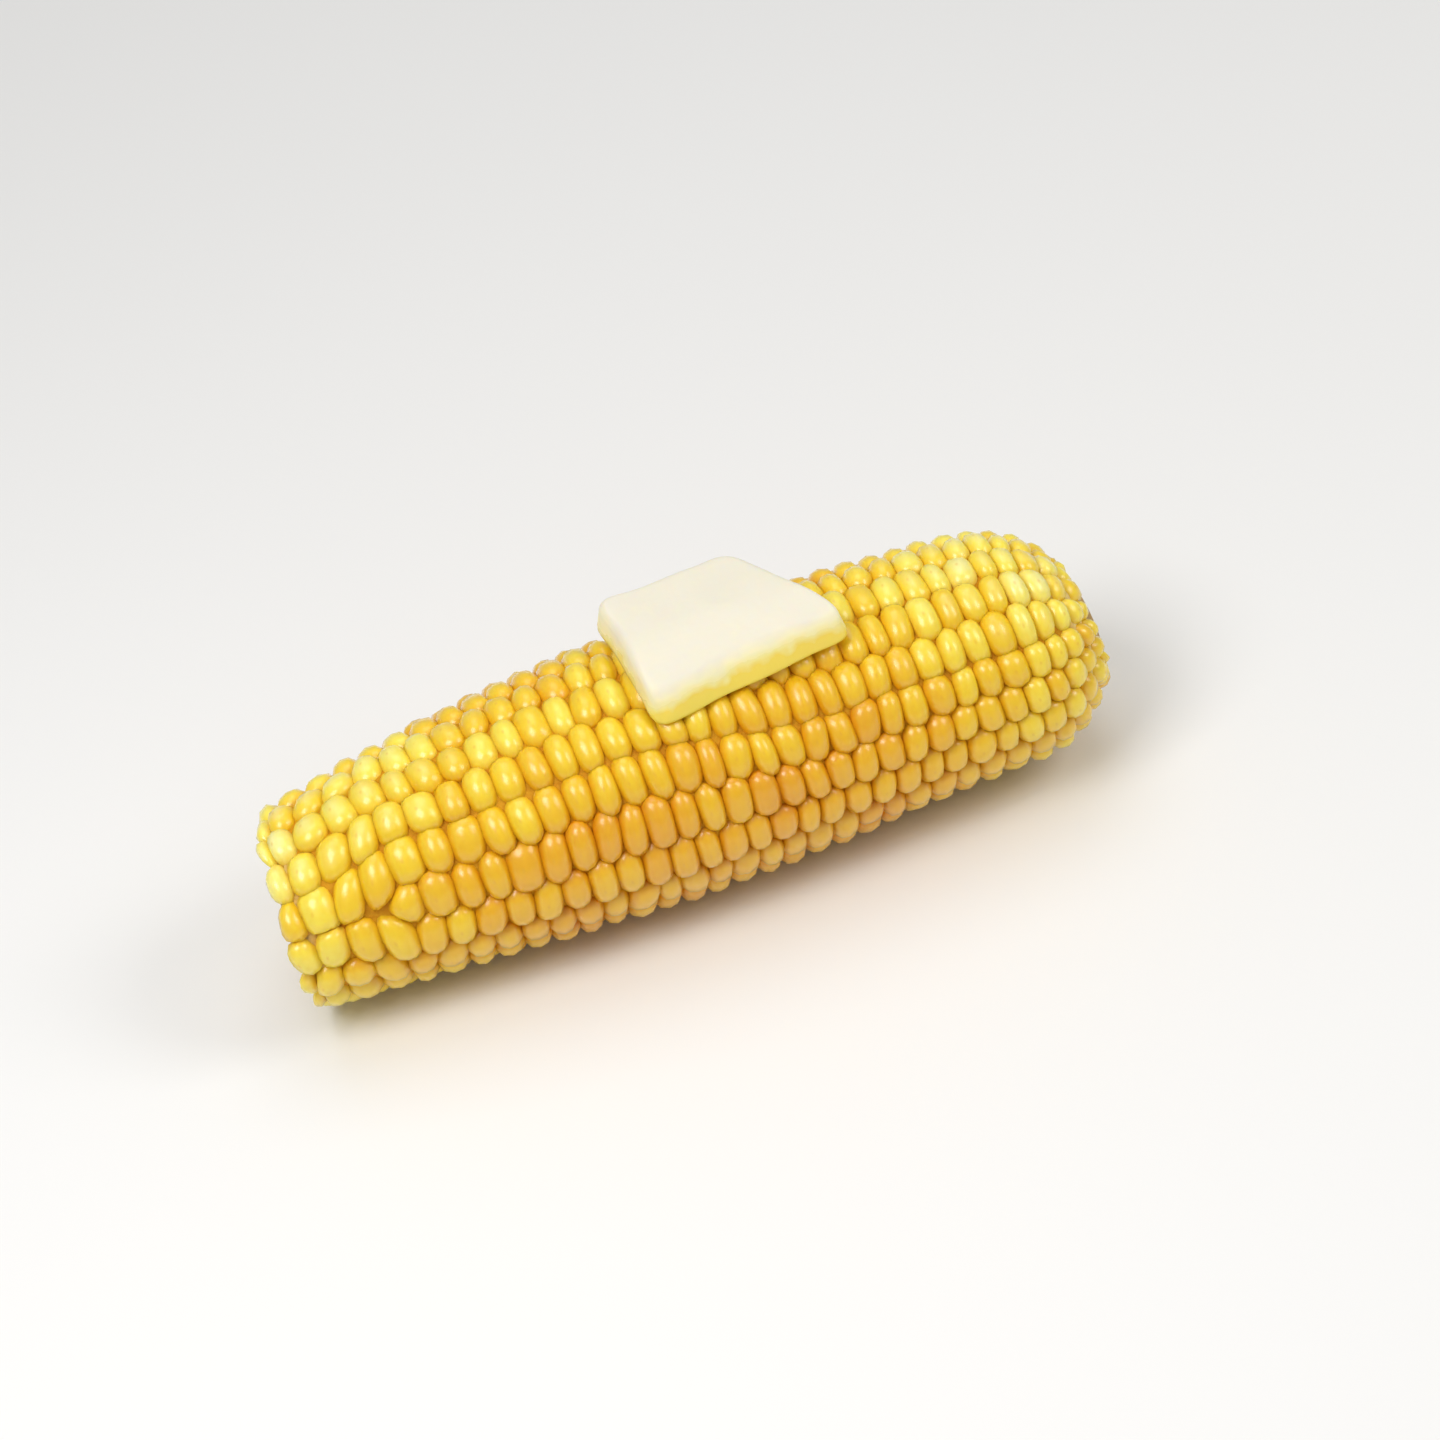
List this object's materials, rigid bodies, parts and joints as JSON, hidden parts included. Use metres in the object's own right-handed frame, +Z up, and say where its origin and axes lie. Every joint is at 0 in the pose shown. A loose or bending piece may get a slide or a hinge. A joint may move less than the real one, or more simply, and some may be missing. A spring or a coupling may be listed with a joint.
{
  "type": "corn on the cob",
  "caption": "Trimmed ear of cooked sweetcorn lying on its side, rows of plump kernels in relief round a woody core, with a slab of softening butter on top.",
  "frame": {"origin": "bottom centre of the bounding box, on the surface that the ear lies on", "axes": "+X along the ear from the tip end to the stalk end, +Z up, the butter pat on top"},
  "size_m": [0.1594, 0.0508, 0.056],
  "materials": {
    "corn_kernels": "glossy, moist cooked skin",
    "cob_core": "dull, fibrous cut end",
    "butter_pat": "soft satin, melting and glossy at the near edge"
  },
  "bodies": {
    "root": {"corn_kernels": "corn_kernels", "cob_core": "cob_core", "butter_pat": "butter_pat"}
  },
  "joints": []
}
